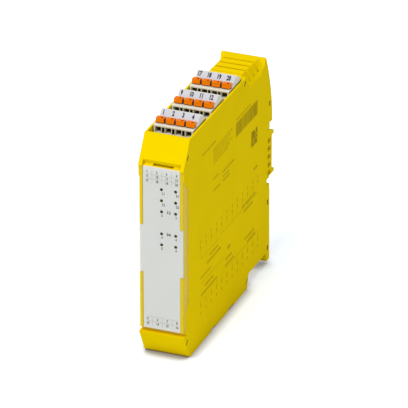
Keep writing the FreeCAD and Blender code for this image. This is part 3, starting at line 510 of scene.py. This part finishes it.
def print_strip(place, first):
    """The terminal numbers on one number strip, on its sloping face; the lower ones are upside down."""
    low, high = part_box("marker_strip_" + place)
    rise = high[2] - low[2] - STRIP_EDGE_TALL
    run = high[1] - low[1] - STRIP_EDGE_DEEP
    flipped = place.startswith("bottom")
    sign = -1 if flipped else 1
    level = high[2] - STRIP_EDGE_TALL - rise / 2 if flipped else low[2] + STRIP_EDGE_TALL + rise / 2
    right = Vector((sign, 0, 0))
    up = Vector((0, run, rise * sign)).normalized()
    out = right.cross(up)
    middle = Vector((0, low[1] + run / 2, level)) + out * (INK_DEPTH / 2) + up * STRIP_LIFT
    pieces = []
    for pole in POLES:
        across = ((pole - POLE_MIDDLE) * STRIP_PITCH - STRIP_SHIFT) * sign
        figure = text_mesh(str(first + pole), STRIP_FIGURE, narrow=0.62, bold=0.07)
        pieces.append((figure, facing(middle + Vector((across, 0, 0)), right, up)))
    join_print("figures_" + place, "housing", MARKER_INK, pieces)


# --- print: wall ----------------------------------------------------------------------------------
# Places on the side cover are in mm: depth and level from its low corner.

SEED = 7
DASH_RANGE = (0.8, 2.4)
DASH_GAP = 0.45
BAR_SPAN = (67.2, 95.6)
BAR_LEVEL = 90.8
BAR_TALL = 7.2
BAR_WIDTHS = (0.5, 0.8, 1.2)
BAR_GAPS = (0.4, 0.6)
SQUARE_CORNER = (87.8, 73.0)
SQUARE_CELL = 0.8
SQUARE_CELLS = 10
SQUARE_FILL = 0.75
PARAGRAPH_LINES = 6
PARAGRAPH_START = 38
PARAGRAPH_ENDS = (60.5, 58.3, 56.1)
PARAGRAPH_TOP = 94
PARAGRAPH_PITCH = 1.45
PARAGRAPH_TALL = 0.6
# rows of dashes: start, end, level and height
SMALL_PRINT = (
    (67.5, 86, 96.0, 0.8), (24.2, 40, 97.2, 0.9), (38, 45, 78.6, 0.9), (49.2, 62, 77.0, 0.9),
    (50.4, 58, 74.4, 0.9), (50.4, 58.8, 72.2, 0.9), (38, 46.4, 72.5, 0.9), (90.6, 95.4, 59.8, 1.3),
)
SCHEME_BLOCKS = (
    (75, 92, 46.6, 1.2), (78, 88, 43.4, 1.3), (33, 44, 41.6, 1.1), (30, 46, 38.8, 1.2), (21.5, 35, 34.5, 0.9),
    (27, 36, 28.4, 1.2), (22, 42, 25.4, 1.2), (56, 59, 34.2, 1.8), (54, 61, 29.2, 1.2), (53, 65, 26.0, 1.1),
    (79, 90, 28.0, 1.2), (82, 93, 25.4, 1.1),
)
# long lines: start, end and level
SCHEME_LINES = ((21.6, 46, 44.4), (48, 97, 45.4), (21.6, 52, 31.4), (54, 96.4, 24.4))
LINE_WIDE = 0.2
# twelve terminals in a row, each with its ticks and leads: level and height
TERMINALS = 12
TERMINAL_START = 21.6
TERMINAL_PITCH = 6.8
TICKS = ((53.6, 1.6), (50.6, 2.4), (20.6, 2.8), (16.4, 1.8))
TICK_WIDE = 0.75
LEADS = ((47.6, 4.2), (23.4, 3.0))
# dark patches of painted shade over small recesses and latch slots: depth and level
REAR_RECESS_SHADES = ((111.9, 85.4), (109.7, 33.7), (109.9, 9.1))
REAR_SHADE_WIDE = 1.3
LATCH_SLOT_SHADES = ((5.6, 104.2), (4.2, 9.3), (78.6, 109.8), (81.9, 4.2))
LATCH_SHADE_WIDE = 0.8
RECESS_SHADE_TALL = 2.6


def print_wall():
    """Generic print on the side cover: bars, a dotted square, small print and a wiring scheme; and dark
    patches of painted shade over its latch slots and recesses.
    """
    low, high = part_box("side_cover")
    chance = random.Random(SEED)
    codes = []
    faint = []
    recess_shade = []

    def put(group, wide, tall, depth, level, up=(0, 0, 1)):
        spot = (high[0] + INK_DEPTH / 2, low[1] + depth * MM, low[2] + level * MM)
        group.append((bar_mesh(wide * MM, tall * MM), facing(spot, (0, up[2], -up[1]), up)))

    def dashes(start, end, level, tall):
        """A row of dashes that stands for a line of small print."""
        depth = start
        while depth < end:
            dash = chance.uniform(*DASH_RANGE)
            put(faint, dash, tall, depth + dash / 2, level)
            depth += dash + DASH_GAP

    depth = BAR_SPAN[0]
    while depth < BAR_SPAN[1]:
        bar = chance.choice(BAR_WIDTHS)
        put(codes, bar, BAR_TALL, depth + bar / 2, BAR_LEVEL)
        depth += bar + chance.choice(BAR_GAPS)
    for row in range(SQUARE_CELLS):
        for column in range(SQUARE_CELLS):
            if row == 0 or column == 0 or chance.random() < SQUARE_FILL:
                put(codes, SQUARE_CELL, SQUARE_CELL,
                    SQUARE_CORNER[0] + column * SQUARE_CELL, SQUARE_CORNER[1] + row * SQUARE_CELL)
    for start, end, level, tall in SMALL_PRINT + SCHEME_BLOCKS:
        dashes(start, end, level, tall)
    for line in range(PARAGRAPH_LINES):
        dashes(PARAGRAPH_START, PARAGRAPH_ENDS[line % len(PARAGRAPH_ENDS)],
               PARAGRAPH_TOP - PARAGRAPH_PITCH * line, PARAGRAPH_TALL)
    for start, end, level in SCHEME_LINES:
        put(faint, end - start, LINE_WIDE, (start + end) / 2, level)
    for terminal in range(TERMINALS):
        depth = TERMINAL_START + TERMINAL_PITCH * terminal
        for level, tall in TICKS:
            put(faint, TICK_WIDE, tall, depth, level)
        for level, tall in LEADS:
            put(faint, LINE_WIDE, tall, depth, level)
    # painted shade: dark patches over the rear recesses and the slanted latch slots
    for depth, level in REAR_RECESS_SHADES:
        put(recess_shade, REAR_SHADE_WIDE, RECESS_SHADE_TALL, depth, level)
    for depth, level in LATCH_SLOT_SHADES:
        put(recess_shade, LATCH_SHADE_WIDE, RECESS_SHADE_TALL, depth, level, up=(0, 1, 1))
    join_print("wall_codes", "housing", CODE_INK, codes)
    join_print("wall_print", "housing", FAINT_INK, faint)
    join_print("painted_recess_shade", "housing", PAINTED_RECESS_SHADE, recess_shade)


# --- studio ---------------------------------------------------------------------------------------

FLOOR_SIZE = 12
FLOOR_GLOW = 0.53
PAPER_DARK = (0.84, 0.90, 0.97, 1)
PAPER_LIGHT = (0.85, 0.91, 0.98, 1)
# painted contact shadow: the paper's colour close around the part
PAPER_SHADED = (0.46, 0.46, 0.54, 1)
GLOW_COLOUR = (0.86, 0.91, 1.0, 1)
CONTACT_REACH = 8 * MM
ROOM_LIGHT = 0.52
LAMP_PLACE = (-0.36, -1.26, 2.3)
LAMP_TARGET = (0, 0, 0.06)
LAMP_SIZE = 1.2
LAMP_POWER = 34
CAMERA_PLACE = (0.76888, -1.96732, 1.10214)
CAMERA_AZIMUTH = math.radians(21.39)
CAMERA_ELEVATION = math.radians(26.39)
CAMERA_SENSOR = 36.0
CAMERA_LENS = 441.2
CAMERA_REACH = 50


def seen_directly(tree):
    """1 for rays from the camera, in reflections and through clear plastic, else 0."""
    path = tree.nodes.new("ShaderNodeLightPath")
    result = path.outputs["Is Camera Ray"]
    for kind in ("Is Glossy Ray", "Is Transmission Ray"):
        either = tree.nodes.new("ShaderNodeMath")
        either.operation = "MAXIMUM"
        tree.links.new(result, either.inputs[0])
        tree.links.new(path.outputs[kind], either.inputs[1])
        result = either.outputs["Value"]
    return result


def level_by(tree, switch, low, high):
    """A value that is low or high by a switch."""
    level = tree.nodes.new("ShaderNodeMapRange")
    level.inputs["To Min"].default_value = low
    level.inputs["To Max"].default_value = high
    tree.links.new(switch, level.inputs["Value"])
    return level.outputs["Result"]


def make_floor():
    """A pale floor that takes the lamp's shadow and reads as white around the part; close around it a painted
    contact shadow darkens both its colour and its glow.
    """
    bpy.ops.mesh.primitive_plane_add(size=FLOOR_SIZE, location=(0, 0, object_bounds()[0][2]))
    floor = bpy.context.object
    floor.name = "floor"
    material, tree, shader = new_material("floor paper")
    how_open = openness(tree, CONTACT_REACH, alone=False, closed=0.4, clear=0.9)
    paper = shade(tree, noise(tree, scale=400), PAPER_DARK, PAPER_LIGHT)
    tree.links.new(deepen(tree, paper, PAPER_SHADED, how_open), shader.inputs["Base Color"])
    # painted contact shadow: the glow is dimmed where the part is near
    glow = tree.nodes.new("ShaderNodeMath")
    glow.operation = "MULTIPLY"
    tree.links.new(level_by(tree, seen_directly(tree), 0.0, FLOOR_GLOW), glow.inputs[0])
    tree.links.new(how_open, glow.inputs[1])
    tree.links.new(glow.outputs["Value"], shader.inputs["Emission Strength"])
    shader.inputs["Emission Color"].default_value = GLOW_COLOUR
    shader.inputs["Roughness"].default_value = 0.9
    shader.inputs["Specular IOR Level"].default_value = 0.0
    floor.data.materials.append(material)


def make_world():
    """A white room: full white to the camera and in reflections, softer as light."""
    world = bpy.data.worlds.new("studio")
    bpy.context.scene.world = world
    world.use_nodes = True
    tree = world.node_tree
    ground = tree.nodes["Background"]
    ground.inputs["Color"].default_value = (1, 1, 1, 1)
    tree.links.new(level_by(tree, seen_directly(tree), ROOM_LIGHT, 1.0), ground.inputs["Strength"])


def make_lamp():
    """A soft square lamp above the front, to the left, that points at the part."""
    lamp = bpy.data.lights.new("key", "AREA")
    lamp.shape = "SQUARE"
    lamp.size = LAMP_SIZE
    lamp.energy = LAMP_POWER
    holder = bpy.data.objects.new("key", lamp)
    holder.location = LAMP_PLACE
    holder.rotation_euler = (Vector(LAMP_TARGET) - Vector(LAMP_PLACE)).to_track_quat("-Z", "Y").to_euler()
    bpy.context.scene.collection.objects.link(holder)


def make_camera():
    """A long lens, to the right of the front and above it."""
    level = math.cos(CAMERA_ELEVATION)
    back = Vector((math.sin(CAMERA_AZIMUTH) * level, -math.cos(CAMERA_AZIMUTH) * level,
                   math.sin(CAMERA_ELEVATION)))
    camera = bpy.data.cameras.new("camera")
    camera.sensor_width = CAMERA_SENSOR
    camera.lens = CAMERA_LENS
    camera.clip_end = CAMERA_REACH
    holder = bpy.data.objects.new("camera", camera)
    holder.location = CAMERA_PLACE
    holder.rotation_euler = back.to_track_quat("Z", "Y").to_euler()
    bpy.context.scene.collection.objects.link(holder)
    bpy.context.scene.camera = holder


finish_solids()
make_foot_spring()
print_label()
for place, first in STRIPS:
    print_strip(place, first)
print_wall()
make_floor()
make_world()
make_lamp()
make_camera()
bpy.context.scene.view_settings.view_transform = "Standard"
